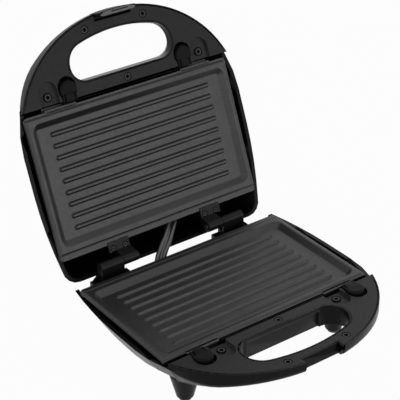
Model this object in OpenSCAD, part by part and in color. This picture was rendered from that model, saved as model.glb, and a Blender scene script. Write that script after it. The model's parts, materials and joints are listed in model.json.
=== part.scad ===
// Sandwich toaster with a hinged lid and ribbed plates, standing open.
// Millimetres: X runs to the right, Y to the rear, Z up from the table.
// Both halves are drawn in a half frame: its origin is the centre of the cooking plate in the plane
// where the halves meet, and its Z is the depth into that half.

/* [Shells] */
// Distance from the plate's side to the body's widest line
side_margin = 8.7; // [6:0.1:14]
// Length of the rounded front, from the widest line to the tip of the handle
arch_len = 107.6; // [104:0.1:115]
// Distance of the body's widest line behind the plate's front edge
widest_margin = 34.1; // [30:0.1:38]
// Fullness of the rounded front: 2 is an ellipse
arch_power = 2.06; // [2:0.01:2.3]
// Radius of the side walls behind the plate's centre
side_arc_r = 386; // [300:1:600]
// Distance of the rear wall behind the plate's rear edge
rear_margin = 23.7; // [22:0.1:30]
// Radius of the rear corners in plan
rear_corner_r = 15; // [10:1:22]
// Depth of a shell from the meeting plane to its outer floor
shell_depth = 37.5; // [36:0.5:46]
// Wall thickness of the shells
wall = 2.4; // [1.8:0.1:3]
// How far the side walls' rim lies back from the meeting plane
side_rim = 5; // [3:0.5:7]
// Lean of the side walls, in degrees
side_lean = 31; // [20:1:34]
// Lean of the rear wall, in degrees
rear_lean = 15; // [8:1:20]
// Lean of the wall that joins the handle to the floor, in degrees
front_lean = 50; // [40:1:55]
// Radius with which the lower side walls turn in towards the front
side_tuck_r = 82; // [70:1:140]
// Rounding between the walls and the floor
floor_round = 12; // [8:1:14]
// Where the base's rear wall ends, below the meeting plane
base_rear_rim = 18.5; // [17:0.5:22]

/* [Handles] */
// Distance of the handle's rear edge in front of the plate
handle_margin = 4.4; // [4:0.1:5.5]
// Depth of the handle at its tip
handle_tip_depth = 11; // [10:0.5:13]
// Slope of the handle's outer face, in degrees
handle_slope = 9; // [6:0.5:11]
// Rounding of the handle's outer edge
handle_round = 6; // [4:0.5:7]
// Distance of the finger hole's end from the middle of a base button
hole_side_gap = 27.8; // [24:0.1:32]
// Distance of the finger hole's straight rear edge from the handle's rear edge
hole_margin = 12.5; // [12:0.1:13.5]
// Thickness of the grip in front of the finger hole
grip_w = 18; // [17:0.5:24]
// Roundness of the finger hole's rear corners, as a part of the hole's depth
hole_rear_round = 0.363; // [0.2:0.001:0.37]
// Roundness of the finger hole's front corners, as a part of the hole's depth
hole_front_round = 0.477; // [0.4:0.001:0.48]
// Thickness of the handle covers
cover_t = 2.5; // [2:0.1:3]
// Width of the shell's rim around a cover
rim_w = 1.7; // [1.4:0.1:2.2]
// Gap between a cover and the rim around it
cover_gap = 0.3; // [0.2:0.05:0.5]

/* [Plates] */
// Half of the plate's width
plate_half_w = 110; // [108:0.1:111]
// Half of the plate's depth, front to rear
plate_half_d = 66.3; // [65:0.1:67]
// Sheet thickness of the plates
plate_t = 2.5; // [2:0.1:3]
// Depth of the cooking recess
recess_depth = 4.6; // [4:0.1:6]
// Width of the plate's rim at each side of the recess
recess_margin = 5.6; // [5:0.1:9]
// Width of the plate's rim in front of the recess
recess_front_margin = 7.6; // [7:0.1:9]
// Width of the plate's rim behind the recess
recess_rear_margin = 11.3; // [10:0.1:14]
// How far the recess walls lean in
recess_lean = 5.3; // [3:0.1:7]
// Corner radius of the recess
recess_corner = 9; // [6:0.5:12]
// Depth of the plate's turned-down edge
skirt = 9; // [7:0.5:10]
// Radius of the plate's rolled side edges
shoulder_r = 4; // [2.5:0.5:5]
// How far the plate's side edges lean in below the rolled edge
skirt_lean = 6; // [5:0.5:7]
// Number of ridges
ridge_count = 9; // [5:1:9]
// Distance from ridge to ridge
ridge_pitch = 10.84; // [9:0.1:11]
// Height of the ridges
ridge_h = 2.4; // [1.5:0.1:3]
// Width of a ridge at its foot
ridge_w = 5; // [3:0.5:6]
// Distance of the ridges' ends from the rim of the recess
ridge_margin = 17.4; // [12:0.1:30]

/* [Hinge] */
// Height of the hinge axis above the meeting plane with the lid open
hinge_z = 1.84; // [0:0.01:4]
// Distance of the hinge axis behind the plate's rear edge
hinge_setback = 15.85; // [14.5:0.05:18]
// Angle through which the lid has opened
open_angle = 112; // [100:1:115]
// Travel of the hinge pins down their slots as the lid closes
float_travel = 7.5; // [6:0.1:8]
// Gap between the plates' rims when closed
close_gap = 0.6; // [0.3:0.1:1]
// Outer radius of the knuckles
knuckle_r = 5; // [4.4:0.1:5.2]
// Radius of the hinge pins
pin_r = 2; // [1.6:0.1:2.4]
// Radial clearance of the pins
pin_gap = 0.05; // [0.02:0.01:0.1]
// Distance of a hinge from the plate's side, to the joint between its two knuckles
hinge_margin = 54; // [52:0.1:58]
// Length of the lid's knuckles
lid_knuckle_l = 16.1; // [14:0.1:18]
// Length of the base's knuckles
base_knuckle_l = 24; // [18:0.1:26]

/* [Feet] */
// Height of the meeting plane above the table
rim_height = 58.2; // [54:0.1:64]
// Distance of the front feet from the body's widest line
front_foot_margin = 35.8; // [30:0.1:50]
// Distance of the front feet behind the plate's front edge
front_foot_setback = 13.1; // [10:0.1:20]
// Distance of the rear feet from the body's widest line
rear_foot_margin = 48.7; // [42:0.1:60]
// Distance of the rear feet from the rear wall
rear_foot_setback = 22; // [20:0.5:30]
// Radius of a foot at the table
foot_r = 8; // [7:0.1:9]
// How much a foot's radius grows for each millimetre of height
foot_flare = 0.22; // [0.1:0.01:0.25]
// Thickness of the rubber foot pads
pad_t = 2; // [1.5:0.1:3]

/* [Release buttons] */
// Distance of the base's buttons from the plate's side
button_margin = 27.8; // [27:0.1:29]
// Distance between the base's and the lid's buttons, across the body
button_spread = 19.6; // [19.4:0.1:21]
// Distance of the button heads' middle from the handle's rear edge
button_setback = 9.3; // [8.5:0.1:10.5]
// Radius of a button's head
button_r = 8.9; // [8:0.1:9]
// How far a button's head stands out of the cover
button_h = 2.8; // [1.5:0.1:3]
// Width of a button's stem
stem_w = 11; // [8:0.5:12]
// Travel of a button towards the handle
button_travel = 3; // [2:0.1:3.5]
// Gap around a button's head
button_gap = 0.4; // [0.3:0.05:0.6]

/* [Latch] */
// Half width of the latch
latch_half_w = 18.9; // [14:0.1:19]
// Gap at each side of the latch in the lid
latch_gap = 0.7; // [0.4:0.1:1]
// Half width of the notch in the base
notch_half_w = 20.6; // [20:0.1:22]
// Depth of the notch in the base's cover
notch_l = 10.6; // [10:0.1:11]
// How far the latch hangs past the meeting plane
latch_drop = 12; // [9:0.5:12.5]
// Angle through which the latch swings to hook the base
latch_swing = 12; // [8:1:13]

/* [Heating] */
// Radius of the heating rods
rod_r = 3.3; // [2.5:0.1:3.5]
// Distance of a heating rod's straight stretches from the plate's front and rear edges
rod_margin = 32.3; // [26:0.1:42]
// Thickness of the heat trays
tray_t = 0.8; // [0.5:0.1:1.2]

/* [Hidden] */
$fn = 48;
eps = 0.01;
black = [0.08, 0.08, 0.085];
satin_black = [0.13, 0.13, 0.135];
coating = [0.25, 0.25, 0.26];
steel = [0.7, 0.7, 0.72];
rubber = [0.05, 0.05, 0.05];

// Sizes that follow from the plate, the handle and the shells
body_half_w = plate_half_w + side_margin;
arch_back = plate_half_d - widest_margin;
tip_reach = arch_back + arch_len;
rear_y = plate_half_d + rear_margin;
handle_rear_y = -plate_half_d - handle_margin;
hole_rear_y = handle_rear_y - hole_margin;
button_y = handle_rear_y - button_setback;
hinge_y = plate_half_d + hinge_setback;
recess_front_y = recess_front_margin - plate_half_d;
recess_rear_y = plate_half_d - recess_rear_margin;
rod_y = plate_half_d - rod_margin;
front_foot_y = front_foot_setback - plate_half_d;
rear_foot_y = rear_y - rear_foot_setback;
recess_half_w = plate_half_w - recess_margin;
ridge_half_l = recess_half_w - ridge_margin;
base_button_x = plate_half_w - button_margin;
lid_button_x = base_button_x - button_spread;
hole_half_w = base_button_x - hole_side_gap;
hole_front_y = grip_w - tip_reach;
hole_depth = hole_rear_y - hole_front_y;
hole_front_r = 5790 / hole_depth;
hole_rear_corner = hole_rear_round * hole_depth;
hole_front_corner = hole_front_round * hole_depth;
knuckle_split_x = plate_half_w - hinge_margin;
lid_knuckle_x = knuckle_split_x - lid_knuckle_l;
base_knuckle_x = knuckle_split_x + base_knuckle_l;
front_foot_x = body_half_w - front_foot_margin;
rear_foot_x = body_half_w - rear_foot_margin;
notch_y = notch_l - tip_reach;

// Half frame to table frame
lid_lift = float_travel + close_gap;

// Depth of the handle's outer face at y
function handle_depth(y) = handle_tip_depth + (y + tip_reach) * tan(handle_slope);

// Middle of the open toaster's length: between the base beside its notch and the tip of the open lid
lid_tip_y = -tip_reach + handle_round;
open_rear_y = hinge_y + (lid_tip_y - hinge_y) * cos(open_angle)
    + (handle_depth(lid_tip_y) + lid_lift - hinge_z) * sin(open_angle);
base_front_y = -arch_back - arch_len * pow(1 - pow(notch_half_w / body_half_w, arch_power), 1 / arch_power);
centre_y = (open_rear_y + base_front_y) / 2;

// Superellipse that rounds the front: half width at y
function arch_x(y, inset = 0) =
    (body_half_w - inset) * pow(1 - pow((-arch_back - y) / (arch_len - inset), arch_power), 1 / arch_power);

// Half width of the outline at y
function side_x(y) =
    y < -arch_back ? arch_x(y) :
    y < 0 ? body_half_w :
    body_half_w - side_arc_r + sqrt(side_arc_r * side_arc_r - y * y);

// Parameter angle at which the arch reaches handle_rear_y
arch_start = asin(pow((-arch_back - handle_rear_y) / arch_len, arch_power / 2));
arch_steps = 36;
function arch_angle(i) = 180 - arch_start - (180 - 2 * arch_start) * i / arch_steps;
function arch_point(i, inset = 0) =
    let (a = arch_angle(i), p = 2 / arch_power)
    [
        sign(cos(a)) * (body_half_w - inset) * pow(abs(cos(a)), p),
        -arch_back - (arch_len - inset) * pow(sin(a), p)
    ];

// The handle's plan, from the left end round the front to the right end
function arch_outline(inset = 0, rear = handle_rear_y) =
    [for (i = [0:arch_steps]) let (p = arch_point(i, inset)) i % arch_steps == 0 ? [p[0], rear] : p];

// Inset of a wall that leans by lean and rounds into the floor, at depth d
function round_start(lean) = shell_depth - floor_round + floor_round * sin(lean);
function wall_inset(d, lean) =
    d < round_start(lean) ? (d - side_rim) * tan(lean) :
    (round_start(lean) - side_rim) * tan(lean) + floor_round * cos(lean)
    - sqrt(max(0, floor_round * floor_round - pow(d - shell_depth + floor_round, 2)));

// The plate bay's plan at depth d, counter-clockwise from the front left corner
bay_front_y = handle_rear_y - 8.3;
bay_corner = 10;
front_join = handle_depth(bay_front_y) - wall;
side_steps = 8;
corner_steps = 4;
function bay_front(d) = bay_front_y + max(0, d - front_join) * tan(front_lean);
tuck_y = -10;
tuck_d = 14;
function side_tuck(y, d) =
    pow(max(0, tuck_y - y), 2) / (2 * side_tuck_r) * max(0, min(1, (d - front_join) / tuck_d));
function bay_side(y, d, inset) = side_x(y) - wall_inset(d, side_lean) - side_tuck(y, d) - inset;
function bay_half(d, inset) =
    let (
        f = bay_front(d) + inset,
        r = rear_y - wall_inset(d, rear_lean) - inset,
        cf = max(2, bay_corner - inset),
        cr = max(3, rear_corner_r - inset),
        yf = f + cf,
        yr = r - cr
    )
    concat(
        [for (i = [0:corner_steps]) let (a = -90 + 90 * i / corner_steps)
            [bay_side(yf, d, inset) - cf + cf * cos(a), yf + cf * sin(a)]],
        [for (i = [1:side_steps - 1]) let (y = yf + (yr - yf) * i / side_steps) [bay_side(y, d, inset), y]],
        [for (i = [0:corner_steps]) let (a = 90 * i / corner_steps)
            [bay_side(yr, d, inset) - cr + cr * cos(a), yr + cr * sin(a)]]
    );
function mirrored(half) =
    concat(half, [for (i = [len(half) - 1:-1:0]) [-half[i][0], half[i][1]]]);
function at_depth(outline, d) = [for (p = outline) [p[0], p[1], d]];

// Closed solid through rings of points that run counter-clockwise, from the lowest ring up
module loft(rings) {
    n = len(rings[0]);
    m = len(rings);
    quads = [
        for (k = [0:m - 2], i = [0:n - 1])
            let (j = (i + 1) % n, a = k * n, b = a + n)
            [a + i, b + i, b + j, a + j]
    ];
    polyhedron(
        points = [for (ring = rings) each ring],
        faces = concat(
            [[for (i = [0:n - 1]) i]],
            [[for (i = [n - 1:-1:0]) (m - 1) * n + i]],
            [for (q = quads) each [[q[0], q[1], q[2]], [q[0], q[2], q[3]]]]
        )
    );
}

// Space of the handle: thin at the tip, leaning with the side walls near the plate bay.
// inset moves its walls in, top is where it starts, and lift moves its floor up.
handle_blend = 34;
round_steps = 4;
module handle_space(inset, top, lift) {
    function point(i, t) =
        let (
            p0 = arch_point(i),
            w = min(1, (handle_rear_y - p0[1]) / handle_blend),
            floor_d = handle_depth(p0[1]),
            start = min(side_rim, floor_d - handle_round),
            side_in = t * (floor_d - start) * tan(side_lean),
            round_in = handle_round * (1 - cos(90 * t)),
            side_d = start + t * (floor_d - start),
            round_d = floor_d - handle_round * (1 - sin(90 * t)),
            p = arch_point(i, inset + (1 - w) * side_in + w * round_in),
            q = [p[0], i % arch_steps == 0 ? handle_rear_y : p[1]],
            d = t == 1 ? handle_depth(q[1]) : (1 - w) * side_d + w * round_d
        )
        [q[0], q[1], d - lift];
    loft(concat(
        [at_depth(arch_outline(inset), top)],
        [for (k = [0:round_steps]) [for (i = [0:arch_steps]) point(i, k / round_steps)]]
    ));
}

// Space of the plate bay
module bay_space(inset, top, lift) {
    levels = concat(
        [front_join, round_start(rear_lean), round_start(side_lean)],
        [for (a = [48, 64, 90]) shell_depth - floor_round + floor_round * sin(a)]
    );
    rim = at_depth(mirrored(bay_half(side_rim, inset)), top);
    loft(concat(
        [rim],
        top < side_rim - lift ? [at_depth(rim, side_rim - lift)] : [],
        [for (d = levels) at_depth(mirrored(bay_half(d, inset)), d - lift)]
    ));
}

// Outline of the finger hole, grown by grow, with its ends moved out by widen
function arc_points(c, r, a0, a1, n) =
    [for (i = [0:n]) let (a = a0 + (a1 - a0) * i / n) [c[0] + r * cos(a), c[1] + r * sin(a)]];
function hole_outline(grow = 0, widen = 0) =
    let (
        big_y = hole_front_y + hole_front_r,
        fx = hole_half_w - hole_front_corner,
        fy = big_y - sqrt(pow(hole_front_r - hole_front_corner, 2) - fx * fx),
        turn = atan2(fy - big_y, fx),
        stretch = 1 + widen / hole_half_w,
        right = concat(
            arc_points([0, big_y], hole_front_r + grow, -90, turn, 8),
            arc_points([fx, fy], hole_front_corner + grow, turn + 8, 0, 7),
            arc_points([hole_half_w - hole_rear_corner, hole_rear_y - hole_rear_corner],
                hole_rear_corner + grow, 0, 90, 6)
        ),
        closed = mirrored([for (p = right) [p[0] * stretch, p[1]]])
    )
    [for (i = [0:len(closed) - 2]) closed[i]];
module finger_hole(grow = 0) {
    polygon(hole_outline(grow));
}

// Space of the finger hole under its lip: its rear wall is set back, and its ends flare by flare degrees
hole_lip_d = 3.9;
hole_setback = 2;
hole_flare_d = 8;
lid_hole_flare = 31;
module hole_space(grow, flare) {
    setback = flare > 0 ? 0 : hole_setback;
    x = hole_half_w - hole_rear_corner - 1 + grow;
    end = (shell_depth - hole_flare_d) * tan(flare);
    loft([at_depth(hole_outline(grow), hole_flare_d - eps), at_depth(hole_outline(grow, end), shell_depth)]);
    box([-x, hole_rear_y - hole_rear_corner, grow > 0 ? cover_t + cover_gap : hole_lip_d],
        [x, hole_rear_y + setback + grow, shell_depth]);
}

// Extrusion along X of a shape drawn in Y and Z
module along_x(x0, x1) {
    translate([x0, 0, 0])
        rotate([90, 0, 90])
            linear_extrude(x1 - x0)
                children();
}

module both_sides() {
    children();
    mirror([1, 0, 0])
        children();
}

module box(low, high) {
    translate(low)
        cube(high - low);
}

// Post from depth d0 to depth d1
module post(x, y, r, d0, d1) {
    translate([x, y, d0])
        cylinder(r = r, h = d1 - d0);
}

// Cover screws: two at the front, two in the button recesses and one at the rear
screw_head_r = 3.8;
screw_head_h = 1.6;
screw_shank_r = 1.5;
screw_length = 9;
front_screw_l = 7.5;
recess_screw_l = 7;
screw_gap = 0.1;
boss_r = 4;
front_screws = [[-31.3, 12.8 - tip_reach], [31.3, 12.8 - tip_reach]];
rear_screw = [0, handle_rear_y - 5.1];
recess_d = 3.6;
recess_floor_t = 2;
recess_screw_d = recess_d - 0.8;
recess_r = button_r + button_gap;
recess_screw_y = handle_rear_y - 7.5;

// A screw with its head at the origin, pointing along +Z
module screw(length = screw_length) {
    cross_w = 1;
    cross_l = 4;
    cross_d = 0.8;
    difference() {
        union() {
            cylinder(r = screw_head_r, h = screw_head_h);
            cylinder(r = screw_shank_r, h = length);
        }
        for (a = [0, 90])
            rotate([0, 0, a])
                box([-cross_l / 2, -cross_w / 2, -eps], [cross_l / 2, cross_w / 2, cross_d]);
    }
}

module cover_screws(recess_x) {
    for (p = front_screws)
        translate([p[0], p[1], 0.2])
            screw(front_screw_l);
    translate([rear_screw[0], rear_screw[1], 0.2])
        screw();
    for (x = [-recess_x, recess_x])
        translate([x, recess_screw_y, recess_screw_d])
            screw(recess_screw_l);
}

// Bosses that take the cover screws
module cover_bosses(recess_x) {
    low = cover_t + screw_gap;
    difference() {
        union() {
            for (p = concat(front_screws, [rear_screw]))
                post(p[0], p[1], boss_r, low, handle_depth(p[1]) - wall / 2);
            for (x = [-recess_x, recess_x])
                post(x, recess_screw_y, boss_r, recess_d + recess_floor_t + screw_gap,
                    handle_depth(recess_screw_y) - wall / 2);
        }
        for (p = concat(front_screws, [rear_screw]))
            post(p[0], p[1], screw_shank_r + screw_gap, 0, screw_length + 0.5);
        for (x = [-recess_x, recess_x])
            post(x, recess_screw_y, screw_shank_r + screw_gap, 0, recess_screw_d + recess_screw_l + 0.5);
    }
}

// Ribs on the side walls that carry the plate's turned-down edge
seat_gap = 0.2;
rib_w = 5;
rib_ys = [26.3 - plate_half_d, plate_half_d - 36.3];
module plate_ribs() {
    intersection() {
        bay_space(wall / 2, side_rim, 0);
        both_sides()
            for (y = rib_ys)
                box([plate_half_w - skirt_lean - 3, y - rib_w / 2, skirt + seat_gap],
                    [body_half_w, y + rib_w / 2, 24]);
    }
}

// Posts that carry the heat tray
tray_d = 22;
tray_x = plate_half_w - 18;
tray_front_y = 6.3 - plate_half_d;
tray_rear_y = plate_half_d - 8.3;
tray_post_x = tray_x - 9;
tray_post_ys = [tray_front_y + 30, tray_rear_y - 24];
tray_posts = [for (y = tray_post_ys, x = [-tray_post_x, tray_post_x]) [x, y]];
module tray_posts() {
    difference() {
        for (p = tray_posts)
            post(p[0], p[1], boss_r, tray_d + tray_t + screw_gap, shell_depth - wall / 2);
        for (p = tray_posts)
            post(p[0], p[1], screw_shank_r + screw_gap, tray_d, shell_depth - wall);
    }
}

// Thin wall between the handle and the plate's bay, which keeps the heat from the handle
heat_wall_y = [handle_rear_y + 1.5, handle_rear_y + 2.7];
heat_wall_x = lid_button_x - 7.1;
heat_wall_top = 1;
module heat_wall() {
    intersection() {
        bay_space(wall / 2, heat_wall_top, 0);
        box([-heat_wall_x, heat_wall_y[0], 0], [heat_wall_x, heat_wall_y[1], shell_depth]);
    }
}

// Shell with its bay, handle, rim, finger hole and bosses
module half_shell(recess_x, hole_flare) {
    cavity = wall + rim_w;
    difference() {
        union() {
            difference() {
                union() {
                    handle_space(0, 0, 0);
                    bay_space(0, side_rim, 0);
                }
                handle_space(cavity, -1, wall);
                bay_space(wall, side_rim - 10, wall);
                translate([0, 0, -1])
                    linear_extrude(cover_t + cover_gap + 1)
                        polygon(arch_outline(rim_w, handle_rear_y + 3));
            }
            intersection() {
                handle_space(0, 0, wall / 2);
                union() {
                    linear_extrude(hole_flare_d)
                        finger_hole(rim_w);
                    hole_space(rim_w, hole_flare);
                }
            }
            cover_bosses(recess_x);
            plate_ribs();
            tray_posts();
            heat_wall();
        }
        translate([0, 0, -1])
            linear_extrude(shell_depth)
                finger_hole();
        hole_space(0, hole_flare);
    }
}

// Cover of a handle, with openings for the buttons and recesses for those of the other half
module button_opening(x) {
    post(x, button_y, recess_r, -1, cover_t + 1);
    post(x, button_y - button_travel, recess_r, -1, cover_t + 1);
    box([x - recess_r, button_y - button_travel, -1], [x + recess_r, button_y, cover_t + 1]);
    box([x - stem_w / 2 - button_gap, button_y, -1], [x + stem_w / 2 + button_gap, 0, cover_t + 1]);
}

module recess_space(x, grow, d) {
    front_y = button_y - button_travel;
    post(x, front_y, recess_r + grow, -1, d);
    box([x - recess_r - grow, front_y, -1], [x + recess_r + grow, handle_rear_y + 1, d]);
}

module handle_cover(button_x, recess_x, notch_w, notch_y) {
    rear = handle_rear_y - cover_gap;
    cup_wall = 0.8;
    difference() {
        union() {
            linear_extrude(cover_t)
                polygon(arch_outline(rim_w + cover_gap, rear));
            intersection() {
                both_sides()
                    difference() {
                        recess_space(recess_x, cup_wall, recess_d + recess_floor_t);
                        button_opening(button_x);
                    }
                box([-body_half_w, -tip_reach, 0], [body_half_w, rear, shell_depth]);
            }
        }
        translate([0, 0, -1])
            linear_extrude(cover_t + 2)
                finger_hole(rim_w + cover_gap);
        both_sides() {
            button_opening(button_x);
            recess_space(recess_x, 0, recess_d);
            post(recess_x, recess_screw_y, screw_shank_r + screw_gap, 0, shell_depth);
            post(recess_x, recess_screw_y, screw_head_r + screw_gap, 0, recess_screw_d + screw_head_h + 0.1);
        }
        for (p = concat(front_screws, [rear_screw])) {
            post(p[0], p[1], screw_shank_r + screw_gap, -1, cover_t + 1);
            post(p[0], p[1], screw_head_r + screw_gap, -1, screw_head_h + 0.2);
        }
        box([-notch_w, -tip_reach - 1, -1], [notch_w, notch_y, cover_t + 1]);
    }
}

// Cooking plate: a shallow tray with leaning walls, ridges and rolled side edges
flange_step = 0.8;
flange_front_y = 2.7 - plate_half_d;
flange_rear_y = plate_half_d - 5.6;
tongue_x = [lid_button_x - 5.6, base_button_x + 7.8];
tongue_l = 1.9;
tab_notch_x = [knuckle_split_x - 17.5, knuckle_split_x + 9.5];
tab_notch_y = plate_half_d - 3.6;
ledge_d = 6.2;
ledge_l = 3.6;

function rounded_rect(x0, x1, y0, y1, r) = concat(
    arc_points([x1 - r, y0 + r], r, -90, 0, 5),
    arc_points([x1 - r, y1 - r], r, 0, 90, 5),
    arc_points([x0 + r, y1 - r], r, 90, 180, 5),
    arc_points([x0 + r, y0 + r], r, 180, 270, 5)
);

module recess_pan(grow, top, deeper) {
    function ring(d) =
        let (in = recess_lean * d / recess_depth - grow)
        rounded_rect(-recess_half_w + in, recess_half_w - in, recess_front_y + in, recess_rear_y - in,
            recess_corner + grow);
    loft([
        at_depth(ring(0), top),
        at_depth(ring(0), min(0, top) + eps),
        at_depth(ring(recess_depth), recess_depth + deeper)
    ]);
}

module plate_edge(inset, top) {
    r = shoulder_r - inset;
    w = plate_half_w - inset;
    points = concat(
        [[skirt_lean - w, skirt + inset], [w - skirt_lean, skirt + inset]],
        arc_points([w - r, top + r], r, 0, -90, 6),
        arc_points([-w + r, top + r], r, -90, -180, 6)
    );
    translate([0, plate_half_d - inset, 0])
        rotate([90, 0, 0])
            linear_extrude(2 * (plate_half_d - inset))
                polygon(points);
}

ridge_span = ridge_pitch * (ridge_count - 1);
module ridge() {
    top_w = 1.6;
    end_slope = 3;
    base_d = recess_depth + eps;
    points = [
        [-ridge_w / 2, base_d], [ridge_w / 2, base_d], [ridge_w / 2 - 0.4, base_d - 0.5 * ridge_h],
        [top_w / 2, recess_depth - ridge_h], [-top_w / 2, recess_depth - ridge_h],
        [-ridge_w / 2 + 0.4, base_d - 0.5 * ridge_h]
    ];
    top_half_l = ridge_half_l - end_slope;
    ends = [
        [-ridge_half_l, base_d], [ridge_half_l, base_d],
        [top_half_l, recess_depth - ridge_h], [-top_half_l, recess_depth - ridge_h]
    ];
    intersection() {
        along_x(-ridge_half_l, ridge_half_l)
            polygon(points);
        translate([0, ridge_w, 0])
            rotate([90, 0, 0])
                linear_extrude(2 * ridge_w)
                    polygon(ends);
    }
}

module cooking_plate() {
    ridge_mid = (recess_front_y + recess_rear_y) / 2 - 0.3;
    difference() {
        union() {
            difference() {
                union() {
                    plate_edge(0, 0);
                    both_sides()
                        box([tongue_x[0], -plate_half_d - tongue_l, flange_step],
                            [tongue_x[1], -plate_half_d + 1, flange_step + plate_t]);
                    both_sides()
                        box([tongue_x[0], -plate_half_d - ledge_l, ledge_d],
                            [tongue_x[1], -plate_half_d + 1, skirt]);
                }
                plate_edge(plate_t, plate_t);
            }
            recess_pan(plate_t, plate_t / 2, plate_t);
        }
        recess_pan(0, -1, 0);
        box([-plate_half_w - 1, -plate_half_d - 3, -1], [plate_half_w + 1, flange_front_y, flange_step]);
        box([-plate_half_w - 1, flange_rear_y, -1], [plate_half_w + 1, plate_half_d + 1, flange_step]);
        both_sides()
            box([tab_notch_x[0], tab_notch_y, -1], [tab_notch_x[1], plate_half_d + 1, skirt + 1]);
    }
    for (i = [0:ridge_count - 1])
        translate([0, ridge_mid - ridge_span / 2 + i * ridge_pitch, 0])
            ridge();
}

// Heat tray under a plate
module heat_tray() {
    rim_d = 14;
    difference() {
        box([-tray_x, tray_front_y, rim_d], [tray_x, tray_rear_y, tray_d + tray_t]);
        box([-tray_x + tray_t, tray_front_y + tray_t, rim_d - 1],
            [tray_x - tray_t, tray_rear_y - tray_t, tray_d]);
        for (p = tray_posts)
            post(p[0], p[1], screw_shank_r + screw_gap, tray_d - 1, tray_d + tray_t + 1);
    }
}

module tray_screws() {
    for (p = tray_posts)
        translate([p[0], p[1], tray_d - screw_head_h - screw_gap])
            screw(shell_depth - wall - tray_d - 1);
}

// Heating rod bent into a U, with a terminal pin at each end
rod_d = recess_depth + plate_t + rod_r + 0.2;
rod_half_l = plate_half_w - 48;
terminal_r = 1.5;
terminal_l = 12;
module heating_rod() {
    straight = rod_half_l + 14;
    for (y = [-rod_y, rod_y])
        translate([-rod_half_l + rod_y / 2, y, rod_d])
            rotate([0, 90, 0]) {
                cylinder(r = rod_r, h = straight + rod_half_l - rod_y / 2);
                cylinder(r = terminal_r, h = straight + rod_half_l - rod_y / 2 + terminal_l);
            }
    translate([-rod_half_l + rod_y / 2, 0, rod_d])
        rotate([0, 0, 90])
            rotate_extrude(angle = 180)
                translate([rod_y, 0])
                    circle(r = rod_r);
}

// Release button: round head, stem to the plate, and a nose over the plate's ledge
guide_t = 1.5;
module release_button(x) {
    nose_y = -plate_half_d - 0.9;
    nose_d = ledge_d - 0.3;
    nose_top_d = flange_step + plate_t + 0.3;
    stem_y = handle_rear_y + 1.3;
    guide_d = cover_t + 0.3;
    guide_w = stem_w / 2 + 1;
    translate([x, 0, 0]) {
        difference() {
            union() {
                post(0, button_y, button_r, -button_h, guide_d + eps);
                box([-stem_w / 2, button_y, -button_h], [stem_w / 2, stem_y, guide_d + eps]);
            }
            for (i = [-1:1])
                translate([0, button_y + 2.2 * i, -button_h - eps])
                    box([-5, -0.5, 0], [5, 0.5, 0.5]);
        }
        box([-guide_w, button_y - button_r, guide_d], [guide_w, stem_y, guide_d + guide_t]);
        box([-stem_w / 2, handle_rear_y, guide_d], [stem_w / 2, stem_y, nose_d]);
        box([-stem_w / 2, handle_rear_y, nose_top_d], [stem_w / 2, nose_y, nose_d]);
    }
}

// Return springs behind the buttons, drawn at their pressed length
spring_r = 2.2;
spring_wire = 0.5;
spring_l = 4;
spring_y = button_y - button_r - button_travel - 0.4;
spring_d = cover_t + 0.3 + spring_r;
module button_springs(x) {
    both_sides()
        translate([x, spring_y - spring_l, spring_d])
            rotate([-90, 0, 0])
                difference() {
                    cylinder(r = spring_r, h = spring_l);
                    translate([0, 0, -eps])
                        cylinder(r = spring_r - spring_wire, h = spring_l + 2 * eps);
                }
}

// Wall behind each spring, and the seat that the button slides on
module button_seats(x) {
    seat_w = 5;
    stop_y = spring_y - spring_l;
    slide_y = button_y - 6;
    both_sides() {
        box([x - seat_w, stop_y - wall, cover_t + 0.4],
            [x + seat_w, stop_y, handle_depth(stop_y - wall) - wall / 2]);
        box([x - seat_w, slide_y, cover_t + guide_t + 0.4],
            [x + seat_w, slide_y + 2, handle_depth(slide_y) - wall / 2]);
    }
}

// Feet: rounded cones under the base, each with a rubber pad
foot_places = [
    [front_foot_x, front_foot_y], [-front_foot_x, front_foot_y],
    [rear_foot_x, rear_foot_y], [-rear_foot_x, rear_foot_y]
];
front_foot_top = rim_height - 28;
rear_foot_top = rim_height - shell_depth + wall;
module foot(foot_top) {
    edge = 2.6;
    top_r = foot_r + foot_flare * foot_top;
    rotate_extrude()
        polygon(concat(
            [[0, pad_t], [foot_r - edge, pad_t]],
            arc_points([foot_r - edge, pad_t + edge], edge, -70, 0, 5),
            [[top_r, foot_top], [0, foot_top]]
        ));
}

module foot_pad() {
    cylinder(r = foot_r - 2.5, h = pad_t);
}

// Placing of the halves
module at_table() {
    translate([0, -centre_y, rim_height])
        children();
}

module in_base() {
    at_table()
        mirror([0, 0, 1])
            children();
}

module in_lid() {
    at_table()
        translate([0, hinge_y, hinge_z])
            rotate([-open_angle, 0, 0])
                translate([0, -hinge_y, lid_lift - hinge_z])
                    children();
}

// Ramp at the rear of the base's notch, with a lip under which the latch hooks
catch_t = 6;
catch_d = 9;
catch_lip_y = notch_y - 3.9;
catch_foot_y = notch_y - 1;
module latch_catch() {
    box([-notch_half_w - 1, catch_lip_y, cover_t + screw_gap],
        [notch_half_w + 1, notch_y + catch_t, handle_depth(catch_foot_y)]);
}

module latch_space() {
    along_x(-notch_half_w, notch_half_w)
        polygon([
            [-tip_reach - 1, -1], [notch_y, -1], [notch_y, cover_t + screw_gap], [catch_lip_y, catch_d],
            [catch_foot_y, catch_d + 0.05], [catch_foot_y, shell_depth], [-tip_reach - 1, shell_depth]
        ]);
}

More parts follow.
